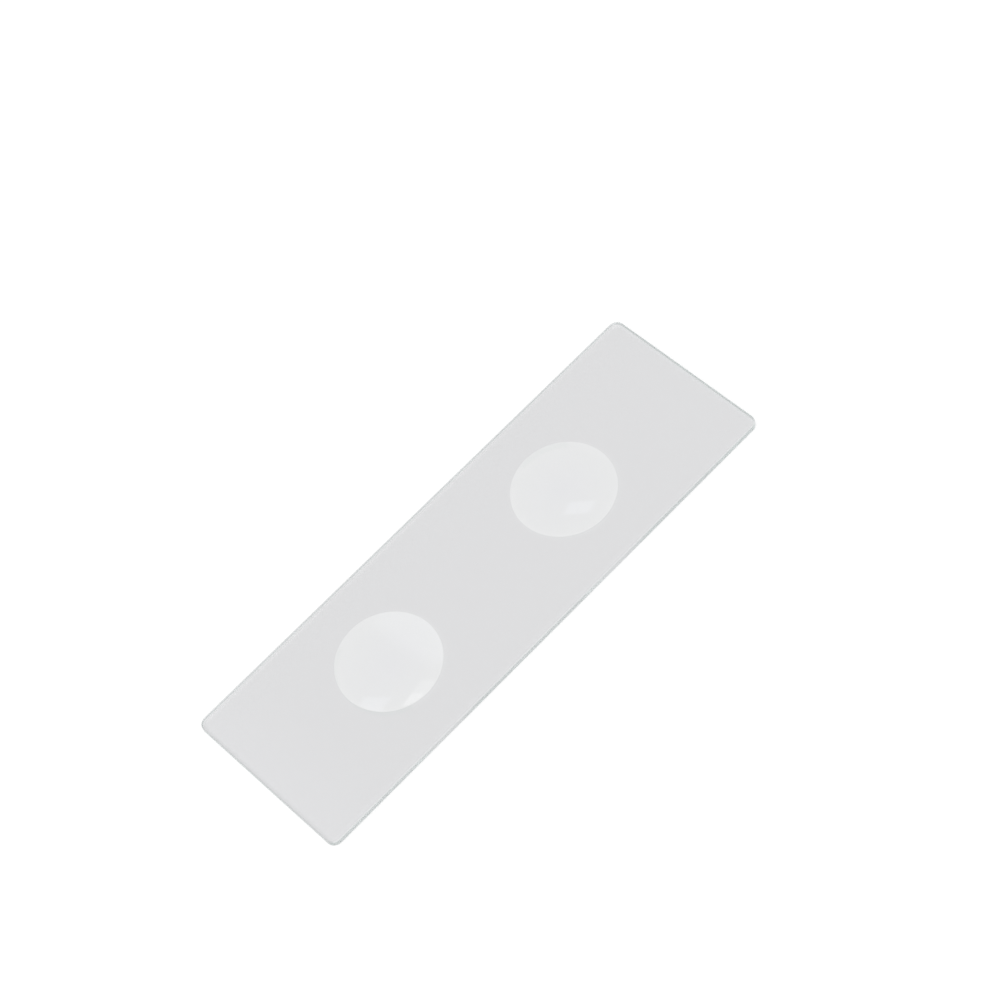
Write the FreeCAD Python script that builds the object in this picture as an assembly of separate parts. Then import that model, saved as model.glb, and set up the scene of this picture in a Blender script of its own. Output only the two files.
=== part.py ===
import FreeCAD, Part
import os

# Double-well microscope slide, one piece of clear glass. Millimetres.
# +X runs along the length, +Y across the width, +Z up out of the welled face.
# The origin is the middle of the underside.

# plate
plateLength = 76.2
plateWidth = 25.4
plateThick = 1.0
cornerRadius = 1.2      # upright corners seen from above

# ground bevels along the edges, measured on the face and on the side
topBevel = 0.12
bottomBevel = 0.12

# wells: two shallow spherical hollows in the upper face
wellDiameter = 13.8     # at the mouth
wellDepth = 0.4
wellPitch = 31.6        # centre to centre along the length
wellShift = -0.6        # of the pair along the length, off the middle
wellOffset = 0.0        # of both centres from the middle of the width
rimRadius = 1.2         # softening where the hollow meets the face


def isUpright(edge):
    a, b = edge.Vertexes[0].Point, edge.Vertexes[-1].Point
    return abs(a.z - b.z) > plateThick * 0.5


def edgesAt(shape, z):
    # edges lying wholly at height z
    boxes = [(edge, edge.BoundBox) for edge in shape.Edges]
    return [edge for edge, b in boxes if abs(b.ZMin - z) < 1e-6 and abs(b.ZMax - z) < 1e-6]


def plate():
    base = Part.makeBox(plateLength, plateWidth, plateThick)
    base.translate(FreeCAD.Vector(-plateLength / 2, -plateWidth / 2, 0))
    corners = [edge for edge in base.Edges if isUpright(edge)]
    return base.makeFillet(cornerRadius, corners)


def bevelled(shape):
    shape = shape.makeChamfer(topBevel, edgesAt(shape, plateThick))
    return shape.makeChamfer(bottomBevel, edgesAt(shape, 0))


def wellSphereRadius():
    mouth = wellDiameter / 2
    return (mouth * mouth + wellDepth * wellDepth) / (2 * wellDepth)


def wellCutter(x):
    radius = wellSphereRadius()
    centre = FreeCAD.Vector(x, wellOffset, plateThick - wellDepth + radius)
    return Part.makeSphere(radius, centre)


def mouthEdges(shape):
    # the round edges where the hollows meet the upper face
    found = []
    for edge in edgesAt(shape, plateThick):
        curve = edge.Curve
        if isinstance(curve, Part.Circle) and abs(curve.Radius - wellDiameter / 2) < 0.01:
            found.append(edge)
    return found


def slide():
    body = bevelled(plate())
    for side in (-1, 1):
        body = body.cut(wellCutter(wellShift + side * wellPitch / 2))
    return body.makeFillet(rimRadius, mouthEdges(body)).Solids[0]


glass = slide()
os.makedirs("parts", exist_ok=True)
glass.exportStep("parts/slide.step")
print("slide", glass.isValid(), round(glass.Volume, 3), glass.BoundBox)
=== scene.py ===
import math

import bmesh
import bpy
from mathutils import Matrix, Vector


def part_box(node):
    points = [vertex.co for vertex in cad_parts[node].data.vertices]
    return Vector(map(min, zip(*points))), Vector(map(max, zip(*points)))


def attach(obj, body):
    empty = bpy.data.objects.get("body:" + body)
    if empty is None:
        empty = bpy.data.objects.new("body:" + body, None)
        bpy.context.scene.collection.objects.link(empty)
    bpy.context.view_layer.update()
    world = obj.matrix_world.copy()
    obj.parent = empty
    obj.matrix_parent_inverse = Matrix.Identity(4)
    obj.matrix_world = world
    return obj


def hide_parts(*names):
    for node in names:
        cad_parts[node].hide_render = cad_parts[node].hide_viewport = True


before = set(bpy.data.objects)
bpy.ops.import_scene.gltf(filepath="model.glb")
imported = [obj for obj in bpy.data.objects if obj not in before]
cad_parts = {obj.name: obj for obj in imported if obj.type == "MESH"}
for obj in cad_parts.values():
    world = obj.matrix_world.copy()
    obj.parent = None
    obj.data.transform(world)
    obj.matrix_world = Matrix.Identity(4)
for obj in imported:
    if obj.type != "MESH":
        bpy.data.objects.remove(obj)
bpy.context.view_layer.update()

# A microscope slide with two wells: one plate of clear soda-lime glass, lying on a
# white bench. The plate is drawn here finer than its solid, with a surface of its own
# for the polished faces, the ground edges and the wells.

mm = 0.001


def linear(hexColour):
    # sRGB hex to the linear values that a shader takes
    channels = [int(hexColour[i:i + 2], 16) / 255 for i in (1, 3, 5)]
    return [c / 12.92 if c <= 0.04045 else ((c + 0.055) / 1.055) ** 2.4 for c in channels] + [1]


def addNode(tree, kind, inputs=None, **settings):
    # one node with its settings, and a value or a link for each named input
    node = tree.nodes.new(kind)
    for name, value in settings.items():
        setattr(node, name, value)
    for name, value in (inputs or {}).items():
        if isinstance(value, bpy.types.NodeSocket):
            tree.links.new(value, node.inputs[name])
        else:
            node.inputs[name].default_value = value
    return node


def newMaterial(name):
    material = bpy.data.materials.new(name)
    material.use_nodes = True
    material.node_tree.nodes.clear()
    return material, material.node_tree


# the plate, in millimetres; its length, width and thickness are read from the frame
plate = {
    "cornerRadius": 1.2,
    "topBevel": 0.12,
    "bottomBevel": 0.12,
    "creaseRadius": 0.04,       # the grinding leaves no knife edge
    "endReach": 0.4,            # from each end, the edge that is ground as the end is
    "wellDiameter": 13.8,
    "wellDepth": 0.4,
    "wellPitch": 31.6,
    "wellShift": -0.6,
    "rimRadius": 1.2,
    "acrossSteps": 32,          # mesh steps across the width and on a quarter of a well
    "cornerSteps": 8,
    "endSteps": 6,
    "middleSteps": 6,
    "skirtSteps": 5,            # rings of faces from a well's rim out to the edges
    "rimSteps": 4,
    "bowlSteps": 24,
    "creaseSteps": 2,
    "weldReach": 0.0005,        # points nearer than this are one point
}
polishedSlot, wallSlot, wellSlot, bevelSlot = 0, 1, 2, 3    # the finishes, in slot order

low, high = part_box("slide")
halfLength = (high[0] - low[0]) / 2 / mm
halfWidth = (high[1] - low[1]) / 2 / mm
thickness = (high[2] - low[2]) / mm
wellPlaces = [plate["wellShift"] + side * plate["wellPitch"] / 2 for side in (-1, 1)]


def between(a, b, share):
    return tuple(p + (q - p) * share for p, q in zip(a, b))


def edgeProfile():
    # (inset, height) up the edge: lower bevel, wall, upper bevel, each crease rounded
    corners = [(plate["bottomBevel"], 0), (0, plate["bottomBevel"]),
               (0, thickness - plate["topBevel"]), (plate["topBevel"], thickness)]
    # a point on each flat face gives the first and last crease their directions
    before = (plate["bottomBevel"] + 1, 0)
    after = (plate["topBevel"] + 1, thickness)
    chain = [before] + corners + [after]
    steps = plate["creaseSteps"]
    profile = []
    for last, here, following in zip(chain, chain[1:], chain[2:]):
        into = Vector(here) - Vector(last)
        out = Vector(following) - Vector(here)
        cut = plate["creaseRadius"] * math.tan(into.angle(out) / 2)
        crease = Vector(here)
        start = crease - into.normalized() * cut
        stop = crease + out.normalized() * cut
        for share in [i / steps for i in range(steps + 1)]:
            point = start.lerp(crease, share).lerp(crease.lerp(stop, share), share)
            profile.append(tuple(point))
    return profile


edgeSteps = edgeProfile()
bottomInset, topInset = edgeSteps[0][0], edgeSteps[-1][0]   # where the flat faces begin
squareHalf = halfWidth - topInset      # each well sits in a square patch of the upper face


def endLine(inset, z, side):
    # one end of the outline, from -Y to +Y round its two corners
    radius = plate["cornerRadius"]
    steps, corner = plate["acrossSteps"], plate["cornerSteps"]
    cx, cy = halfLength - radius, halfWidth - radius
    points = []
    for step in range(steps + 1):
        if step <= corner:
            angle = math.pi / 2 * (step / corner - 1)
            x, y = cx + (radius - inset) * math.cos(angle), -cy + (radius - inset) * math.sin(angle)
        elif step >= steps - corner:
            angle = math.pi / 2 * (step - steps + corner) / corner
            x, y = cx + (radius - inset) * math.cos(angle), cy + (radius - inset) * math.sin(angle)
        else:
            x, y = halfLength - inset, cy * (2 * (step - corner) / (steps - 2 * corner) - 1)
        points.append((side * x, y, z))
    return points


def sideStations():
    # places along the long sides, from +X to -X, shared by both faces and all the edges
    across, end, middle = plate["acrossSteps"], plate["endSteps"], plate["middleSteps"]
    stops = [(halfLength - plate["cornerRadius"], end),
             (wellPlaces[1] + squareHalf, across),
             (wellPlaces[1] - squareHalf, middle),
             (wellPlaces[0] + squareHalf, across),
             (wellPlaces[0] - squareHalf, end),
             (plate["cornerRadius"] - halfLength, 0)]
    stations = []
    for (start, steps), (stop, _) in zip(stops, stops[1:]):
        stations += [start + (stop - start) * i / steps for i in range(steps)]
    return stations + [stops[-1][0]]


def outline(inset, z):
    # the whole edge line at one height, counter-clockwise from above
    y = halfWidth - inset
    stations = sideStations()[1:-1]
    right, left = endLine(inset, z, 1), endLine(inset, z, -1)
    return (right + [(x, y, z) for x in stations] + left[::-1]
            + [(x, -y, z) for x in reversed(stations)])


def crossLine(x, halfSpan, z):
    steps = plate["acrossSteps"]
    return [(x, halfSpan * (2 * i / steps - 1), z) for i in range(steps + 1)]


def wellProfile():
    # (radius, height) from the flat face over the softened rim and down to the middle
    mouth, depth, rim = plate["wellDiameter"] / 2, plate["wellDepth"], plate["rimRadius"]
    sphere = (mouth * mouth + depth * depth) / (2 * depth)
    centreHeight = thickness - depth + sphere
    rimCentre = math.sqrt((sphere + rim) ** 2 - (centreHeight - thickness + rim) ** 2)
    slope = math.asin(rimCentre / (sphere + rim))
    profile = []
    for i in range(plate["rimSteps"] + 1):
        angle = slope * i / plate["rimSteps"]
        profile.append((rimCentre - rim * math.sin(angle), thickness - rim + rim * math.cos(angle)))
    for i in range(1, plate["bowlSteps"] + 1):
        angle = slope * (1 - i / plate["bowlSteps"])
        profile.append((sphere * math.sin(angle), centreHeight - sphere * math.cos(angle)))
    return profile


def addSheet(mesh, rows, slot, smooth, closed=False):
    # quads between neighbouring rows of points
    made = [[mesh.verts.new(Vector(point) * mm) for point in row] for row in rows]
    for first, second in zip(made, made[1:]):
        count = len(first) if closed else len(first) - 1
        for i in range(count):
            j = (i + 1) % len(first)
            face = mesh.faces.new((first[i], first[j], second[j], second[i]))
            face.material_index, face.smooth = slot, smooth
    return made


def squareRing(x):
    # round the square patch of one well, from its (+X, -Y) corner
    steps, h = plate["acrossSteps"], squareHalf
    ring = []
    for (ax, ay), (bx, by) in (((h, -h), (h, h)), ((h, h), (-h, h)),
                               ((-h, h), (-h, -h)), ((-h, -h), (h, -h))):
        ring += [(x + ax + (bx - ax) * i / steps, ay + (by - ay) * i / steps, thickness)
                 for i in range(steps)]
    return ring


def circleRing(x, radius, z):
    count = 4 * plate["acrossSteps"]
    angles = [2 * math.pi * i / count - math.pi / 4 for i in range(count)]
    return [(x + radius * math.cos(a), radius * math.sin(a), z) for a in angles]


def addWell(mesh, x):
    profile = wellProfile()
    outer, inner = squareRing(x), circleRing(x, *profile[0])
    skirt = [[between(a, b, i / plate["skirtSteps"]) for a, b in zip(outer, inner)]
             for i in range(plate["skirtSteps"] + 1)]
    addSheet(mesh, skirt, polishedSlot, False, closed=True)
    made = addSheet(mesh, [circleRing(x, *step) for step in profile[:-1]], wellSlot, True, closed=True)
    middle = mesh.verts.new(Vector((x, 0, profile[-1][1])) * mm)
    last = made[-1]
    for i, vert in enumerate(last):
        face = mesh.faces.new((vert, last[(i + 1) % len(last)], middle))
        face.material_index, face.smooth = wellSlot, True


def addFlats(mesh):
    # the polished faces: the upper one between and beyond the wells, the lower one whole
    top, bottom = thickness, 0
    for side, place in ((-1, wellPlaces[0]), (1, wellPlaces[1])):
        for inset, z in ((topInset, top), (bottomInset, bottom)):
            start = crossLine(place + side * squareHalf, halfWidth - inset, z)
            stop = endLine(inset, z, side)
            rows = [[between(a, b, i / plate["endSteps"]) for a, b in zip(start, stop)]
                    for i in range(plate["endSteps"] + 1)]
            addSheet(mesh, rows, polishedSlot, False)
    start, stop = wellPlaces[1] - squareHalf, wellPlaces[0] + squareHalf
    strip = [crossLine(start + (stop - start) * i / plate["middleSteps"], squareHalf, top)
             for i in range(plate["middleSteps"] + 1)]
    addSheet(mesh, strip, polishedSlot, False)
    stations = sideStations()[plate["endSteps"]:-plate["endSteps"]]
    under = [crossLine(x, halfWidth - bottomInset, bottom) for x in stations]
    addSheet(mesh, under, polishedSlot, False)


def addEdges(mesh):
    for lower, upper in zip(edgeSteps, edgeSteps[1:]):
        middle = (lower[1] + upper[1]) / 2
        onWall = plate["bottomBevel"] < middle < thickness - plate["topBevel"]
        rows = [outline(*lower), outline(*upper)]
        addSheet(mesh, rows, wallSlot if onWall else bevelSlot, True, closed=True)
    # the ends are ground over their whole height, bevels and all
    endStart = (halfLength - plate["endReach"]) * mm
    for face in mesh.faces:
        if face.material_index == bevelSlot and abs(face.calc_center_median().x) > endStart:
            face.material_index = wallSlot


def makePlate():
    mesh = bmesh.new()
    addFlats(mesh)
    for x in wellPlaces:
        addWell(mesh, x)
    addEdges(mesh)
    bmesh.ops.remove_doubles(mesh, verts=mesh.verts, dist=plate["weldReach"] * mm)
    bmesh.ops.recalc_face_normals(mesh, faces=mesh.faces)
    loose = sum(1 for edge in mesh.edges if len(edge.link_faces) != 2)
    data = bpy.data.meshes.new("glassPlate")
    mesh.to_mesh(data)
    mesh.free()
    print("plate:", len(data.polygons), "faces,", loose, "open edges")
    piece = bpy.data.objects.new("glassPlate", data)
    bpy.context.scene.collection.objects.link(piece)
    return piece


# clear soda-lime float glass, with a slight green from its iron that shows only along
# the plate, where light travels a long way inside
sodaLime = {
    "ior": 1.52,
    "iron": "#A4DCCB",
    "absorption": 2.4,          # per metre
}


def finishGlass(tree, tint, roughness, normal=None):
    # glass that bends and passes light, with its iron inside
    inputs = {"Base Color": tint, "Roughness": roughness, "IOR": sodaLime["ior"],
              "Transmission Weight": 1.0}
    if normal:
        inputs["Normal"] = normal
    surface = addNode(tree, "ShaderNodeBsdfPrincipled", inputs)
    iron = addNode(tree, "ShaderNodeVolumeAbsorption",
                   {"Color": linear(sodaLime["iron"]), "Density": sodaLime["absorption"]})
    addNode(tree, "ShaderNodeOutputMaterial",
            {"Surface": surface.outputs["BSDF"], "Volume": iron.outputs["Volume"]})


def millimetres(tree):
    # the place on the piece, counted in millimetres
    place = addNode(tree, "ShaderNodeTexCoord")
    scaled = addNode(tree, "ShaderNodeVectorMath",
                     {0: place.outputs["Object"], 1: (1 / mm, 1 / mm, 1 / mm)},
                     operation="MULTIPLY")
    return scaled.outputs["Vector"]


polished = {
    "tint": "#E3E3E4",          # pale grey, painted shade: it darkens the clear plate to the grey it looks against white
    "roughness": 0.0,
    "handledRoughness": 0.03,
    "handledSize": 14.0,        # mm across a handled patch
    "handledDetail": 3.0,
    "handledBand": (0.5, 0.75),     # of the pattern, from clean to hazed
    "dustTint": "#C4C5C3",
    "dustSpacing": 6.0,         # mm
    "dustRadius": 0.06,         # mm
}


def polishedGlass():
    # fire-polished float glass: mirror smooth, with a breath of haze where it was handled
    # and a few grains of dust that the eye finds only close up
    material, tree = newMaterial("polishedFloatGlass")
    place = millimetres(tree)
    patches = addNode(tree, "ShaderNodeTexNoise",
                      {"Vector": place, "Scale": 1 / polished["handledSize"],
                       "Detail": polished["handledDetail"]})
    clean, hazed = polished["handledBand"]
    haze = addNode(tree, "ShaderNodeMapRange",
                   {"Value": patches.outputs["Fac"], "From Min": clean, "From Max": hazed,
                    "To Min": polished["roughness"], "To Max": polished["handledRoughness"]})
    spacing = polished["dustSpacing"]
    grains = addNode(tree, "ShaderNodeTexVoronoi", {"Vector": place, "Scale": 1 / spacing})
    dusty = addNode(tree, "ShaderNodeMath",
                    {0: grains.outputs["Distance"], 1: polished["dustRadius"] / spacing},
                    operation="LESS_THAN")
    # the face's tint is painted shade, with darker grains of dust mixed in
    tint = addNode(tree, "ShaderNodeMix",
                   {0: dusty.outputs[0], 6: linear(polished["tint"]), 7: linear(polished["dustTint"])},
                   data_type="RGBA")
    finishGlass(tree, tint.outputs[2], haze.outputs["Result"])
    return material


ground = {
    "shadedWallTint": "#CCCECF",      # grey painted shade, enough to draw the plate's outline in thin dark lines
    "shadedWallGrain": "#D0D2D3",
    "bevelTint": "#ECEEEE",
    "bevelGrain": "#F0F1F1",
    "roughness": 0.3,
    "grit": 0.12,               # mm, coarser than the real 0.04 so that it shows
    "gritDetail": 2.0,
    "gritHeight": 0.0003,       # mm
}


def groundGlass(name, tintName, grainName):
    # fine-ground edge: satin, so it never flashes, with a light grain close up
    material, tree = newMaterial(name)
    place = millimetres(tree)
    grain = addNode(tree, "ShaderNodeTexNoise",
                    {"Vector": place, "Scale": 1 / ground["grit"], "Detail": ground["gritDetail"]})
    bump = addNode(tree, "ShaderNodeBump",
                   {"Height": grain.outputs["Fac"], "Distance": ground["gritHeight"] * mm,
                    "Strength": 1.0})
    tint = addNode(tree, "ShaderNodeMix",
                   {0: grain.outputs["Fac"], 6: linear(ground[tintName]), 7: linear(ground[grainName])},
                   data_type="RGBA")
    finishGlass(tree, tint.outputs[2], ground["roughness"], bump.outputs["Normal"])
    return material


well = {
    # painted light and shade in the hollows: a lighter rim and a greyer middle
    "litRimTint": "#F7F7F7",
    "shadedMiddleTint": "#F2F2F4",
    "roughness": 0.02,
    "cloudRoughness": 0.05,
    "cloudSize": 3.0,           # mm
    "cloudDetail": 4.0,
    "cloudBand": (0.3, 0.7),    # of the pattern, from clear to clouded
}


def fromWellMiddle(tree):
    # 0 in the middle of either well and 1 at its mouth
    place = millimetres(tree)
    centred = addNode(tree, "ShaderNodeVectorMath", {0: place, 1: (plate["wellShift"], 0, 0)},
                      operation="SUBTRACT")
    folded = addNode(tree, "ShaderNodeVectorMath", {0: centred.outputs[0]}, operation="ABSOLUTE")
    apart = addNode(tree, "ShaderNodeVectorMath",
                    {0: folded.outputs[0], 1: (plate["wellPitch"] / 2, 0, 0)},
                    operation="SUBTRACT")
    share = 2 / plate["wellDiameter"]
    flat = addNode(tree, "ShaderNodeVectorMath", {0: apart.outputs[0], 1: (share, share, 0)},
                   operation="MULTIPLY")
    return addNode(tree, "ShaderNodeVectorMath", {0: flat.outputs[0]}, operation="LENGTH").outputs["Value"]


def wellGlass():
    # ground and then polished hollows, with a faint cloud left by the polishing; painted light and shade:
    # paler than the faces round them, lightest at the rim and greyer in the middle
    material, tree = newMaterial("polishedWellGlass")
    cloud = addNode(tree, "ShaderNodeTexNoise",
                    {"Vector": millimetres(tree), "Scale": 1 / well["cloudSize"],
                     "Detail": well["cloudDetail"]})
    clear, clouded = well["cloudBand"]
    rough = addNode(tree, "ShaderNodeMapRange",
                    {"Value": cloud.outputs["Fac"], "From Min": clear, "From Max": clouded,
                     "To Min": well["roughness"], "To Max": well["cloudRoughness"]})
    # painted light: the tint lightens from the greyer middle to the rim
    tint = addNode(tree, "ShaderNodeMix",
                   {0: fromWellMiddle(tree), 6: linear(well["shadedMiddleTint"]), 7: linear(well["litRimTint"])},
                   data_type="RGBA")
    finishGlass(tree, tint.outputs[2], rough.outputs["Result"])
    return material


slide = makePlate()
for material in (polishedGlass(),
                 # the wall's grey tint and grain are painted shade for the plate's dark outline
                 groundGlass("groundGlassWall", "shadedWallTint", "shadedWallGrain"),
                 wellGlass(),
                 groundGlass("groundGlassBevel", "bevelTint", "bevelGrain")):
    slide.data.materials.append(material)
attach(slide, "root")
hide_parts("slide")
print("glass: polished faces, ground edges, wells")


# the bench and the studio
studio = {
    "benchColour": "#B7B7B7",
    "benchGlow": 0.66,          # how far the bench is lifted to white where it is seen
    "benchReach": 3.0,          # m
    "benchSides": 96,
    "benchGap": 0.03,           # mm of air under the plate
    "ambient": 0.48,            # the room's strength where it lights the bench
    "roomWhite": 0.8,           # and where the glass mirrors it or it shows through
    "sunBearing": -150,
    "sunHeight": 66,
    "sunSpread": 80,            # degrees across, as soft as a large softbox
    "sunStrength": 1.35,
}

# soft panels that face down on the slide: place, size and height in metres, turn in
# degrees, the brightness that each adds to the white of the room, and the share of it
# that fades toward its sides
panels = {
    "endPanel": {"place": (-0.107, 0.551), "size": (0.51, 0.53), "turn": 0, "height": 1.02,
                 "brightness": 0.50, "colour": "#EDF1FF", "fade": 0.35},
    "rightPanel": {"place": (0.217, 0.853), "size": (0.18, 0.17), "turn": 23.4, "height": 1.0,
                   "brightness": 0.5, "colour": "#FFFFFF", "fade": 0.3},
    "rightPanelCore": {"place": (0.264, 0.821), "size": (0.10, 0.085), "turn": 23.4, "height": 0.98,
                       "brightness": 0.65, "colour": "#FFFFFF", "fade": 0.3},
    "leftPanel": {"place": (0.350, 0.661), "size": (0.096, 0.135), "turn": 30.4, "height": 0.96,
                  "brightness": 0.7, "colour": "#E8EEFF", "fade": 0.4},
}


def seenDirectly(tree):
    # 1 where the eye sees a surface itself, in a polished face or through glass, and 0
    # for the light that a matt surface gathers
    path = addNode(tree, "ShaderNodeLightPath")
    mirrored = addNode(tree, "ShaderNodeMath",
                       {0: path.outputs["Is Camera Ray"], 1: path.outputs["Is Glossy Ray"]},
                       operation="MAXIMUM")
    seen = addNode(tree, "ShaderNodeMath",
                   {0: mirrored.outputs[0], 1: path.outputs["Is Transmission Ray"]},
                   operation="MAXIMUM")
    unscattered = addNode(tree, "ShaderNodeMath", {0: path.outputs["Diffuse Depth"], 1: 0.5},
                          operation="LESS_THAN")
    return addNode(tree, "ShaderNodeMath", {0: seen.outputs[0], 1: unscattered.outputs[0]},
                   operation="MULTIPLY").outputs[0]


def addBench():
    mesh = bmesh.new()
    bmesh.ops.create_circle(mesh, cap_ends=True, segments=studio["benchSides"],
                            radius=studio["benchReach"])
    data = bpy.data.meshes.new("bench")
    mesh.to_mesh(data)
    mesh.free()
    bench = bpy.data.objects.new("bench", data)
    bench.location.z = low[2] - studio["benchGap"] * mm
    bpy.context.scene.collection.objects.link(bench)
    material, tree = newMaterial("whiteBenchPaper")
    paper = addNode(tree, "ShaderNodeBsdfDiffuse", {"Color": linear(studio["benchColour"])})
    glow = addNode(tree, "ShaderNodeMath", {0: seenDirectly(tree), 1: studio["benchGlow"]},
                   operation="MULTIPLY")
    lift = addNode(tree, "ShaderNodeEmission", {"Strength": glow.outputs[0]})
    both = addNode(tree, "ShaderNodeAddShader", {0: paper.outputs[0], 1: lift.outputs[0]})
    addNode(tree, "ShaderNodeOutputMaterial", {"Surface": both.outputs[0]})
    material.cycles.emission_sampling = "NONE"      # the glow is only for what sees the bench
    data.materials.append(material)


def addAir():
    world = bpy.data.worlds.new("studioAir")
    world.use_nodes = True
    tree = world.node_tree
    tree.nodes.clear()
    room = addNode(tree, "ShaderNodeMapRange",
                   {"Value": seenDirectly(tree),
                    "To Min": studio["ambient"], "To Max": studio["roomWhite"]})
    # behind the bench it is plain white
    path = addNode(tree, "ShaderNodeLightPath")
    strength = addNode(tree, "ShaderNodeMath",
                       {0: room.outputs["Result"], 1: path.outputs["Is Camera Ray"]},
                       operation="MAXIMUM")
    air = addNode(tree, "ShaderNodeBackground",
                  {"Color": (1, 1, 1, 1), "Strength": strength.outputs[0]})
    addNode(tree, "ShaderNodeOutputWorld", {"Surface": air.outputs[0]})
    world.cycles.sampling_method = "NONE"
    bpy.context.scene.world = world


def toward(bearing, height):
    b, h = math.radians(bearing), math.radians(height)
    return Vector((math.cos(h) * math.cos(b), math.cos(h) * math.sin(b), math.sin(h)))


def softSides(tree, fade):
    # 1 over most of a panel, falling to 0 at its sides
    place = addNode(tree, "ShaderNodeNewGeometry")
    centred = addNode(tree, "ShaderNodeVectorMath",
                      {0: place.outputs["Parametric"], 1: (2, 2, 0), 2: (-1, -1, 0)},
                      operation="MULTIPLY_ADD")
    out = addNode(tree, "ShaderNodeVectorMath", {0: centred.outputs[0]}, operation="ABSOLUTE")
    axes = addNode(tree, "ShaderNodeSeparateXYZ", {0: out.outputs[0]})
    falls = [addNode(tree, "ShaderNodeMapRange",
                     {"Value": axes.outputs[axis], "From Min": 1 - fade, "From Max": 1,
                      "To Min": 1, "To Max": 0}, interpolation_type="SMOOTHSTEP")
             for axis in ("X", "Y")]
    return addNode(tree, "ShaderNodeMath",
                   {0: falls[0].outputs["Result"], 1: falls[1].outputs["Result"]},
                   operation="MULTIPLY").outputs[0]


def addPanel(name, panel):
    data = bpy.data.lights.new(name, "AREA")
    data.shape = "RECTANGLE"
    data.size, data.size_y = panel["size"]
    data.energy = 4 * panel["brightness"] * data.size * data.size_y     # watts for that brightness
    data.color = linear(panel["colour"])[:3]
    data.use_nodes = True
    data.node_tree.nodes.clear()
    glow = addNode(data.node_tree, "ShaderNodeEmission",
                   {"Strength": softSides(data.node_tree, panel["fade"])})
    addNode(data.node_tree, "ShaderNodeOutputLight", {"Surface": glow.outputs[0]})
    holder = bpy.data.objects.new(name, data)
    holder.location = (*panel["place"], panel["height"])
    holder.rotation_euler.z = math.radians(panel["turn"])
    holder.visible_transmission = False     # only the upper side mirrors it, with no double
    bpy.context.scene.collection.objects.link(holder)


def addSun():
    data = bpy.data.lights.new("softKey", "SUN")
    data.energy, data.angle = studio["sunStrength"], math.radians(studio["sunSpread"])
    holder = bpy.data.objects.new("softKey", data)
    away = toward(studio["sunBearing"], studio["sunHeight"])
    holder.rotation_euler = away.to_track_quat("Z", "Y").to_euler()
    holder.visible_glossy = False       # it lights the bench without glaring in the faces
    bpy.context.scene.collection.objects.link(holder)


addBench()
addAir()
addSun()
for name, panel in panels.items():
    addPanel(name, panel)
print("studio: bench, air, sun and", len(panels), "panels")


view = {
    "lens": 98.39,              # mm
    "frameWidth": 36,           # mm
    "bearing": -116.812,        # degrees, as the height and the roll are
    "height": 57.768,
    "roll": -21.203,
    "aim": (8.997, 5.606, 0.5),     # mm
    "distance": 348.7,          # mm
    "clip": (0.01, 20),         # m
}


def addCamera():
    data = bpy.data.cameras.new("camera")
    data.lens, data.sensor_width = view["lens"], view["frameWidth"]
    data.clip_start, data.clip_end = view["clip"]
    camera = bpy.data.objects.new("camera", data)
    back = toward(view["bearing"], view["height"])
    turn = back.to_track_quat("Z", "Y").to_matrix().to_4x4()
    roll = Matrix.Rotation(math.radians(view["roll"]), 4, "Z")
    place = Vector(view["aim"]) * mm + back * view["distance"] * mm
    camera.matrix_world = Matrix.Translation(place) @ turn @ roll
    bpy.context.scene.collection.objects.link(camera)
    bpy.context.scene.camera = camera


# how far light is followed through the glass
light = {
    "bounces": 120,             # enough to run the plate's length between its faces
    "keptBounces": 16,          # before any of it is dropped, so that the edges come out clean
}

addCamera()
scene = bpy.context.scene
scene.view_settings.view_transform = "Standard"
scene.cycles.blur_glossy = 0            # light crosses the plate without being spread
scene.cycles.max_bounces = light["bounces"]
scene.cycles.transmission_bounces = light["bounces"]
scene.cycles.glossy_bounces = light["bounces"]
scene.cycles.min_light_bounces = light["keptBounces"]
print("camera placed")
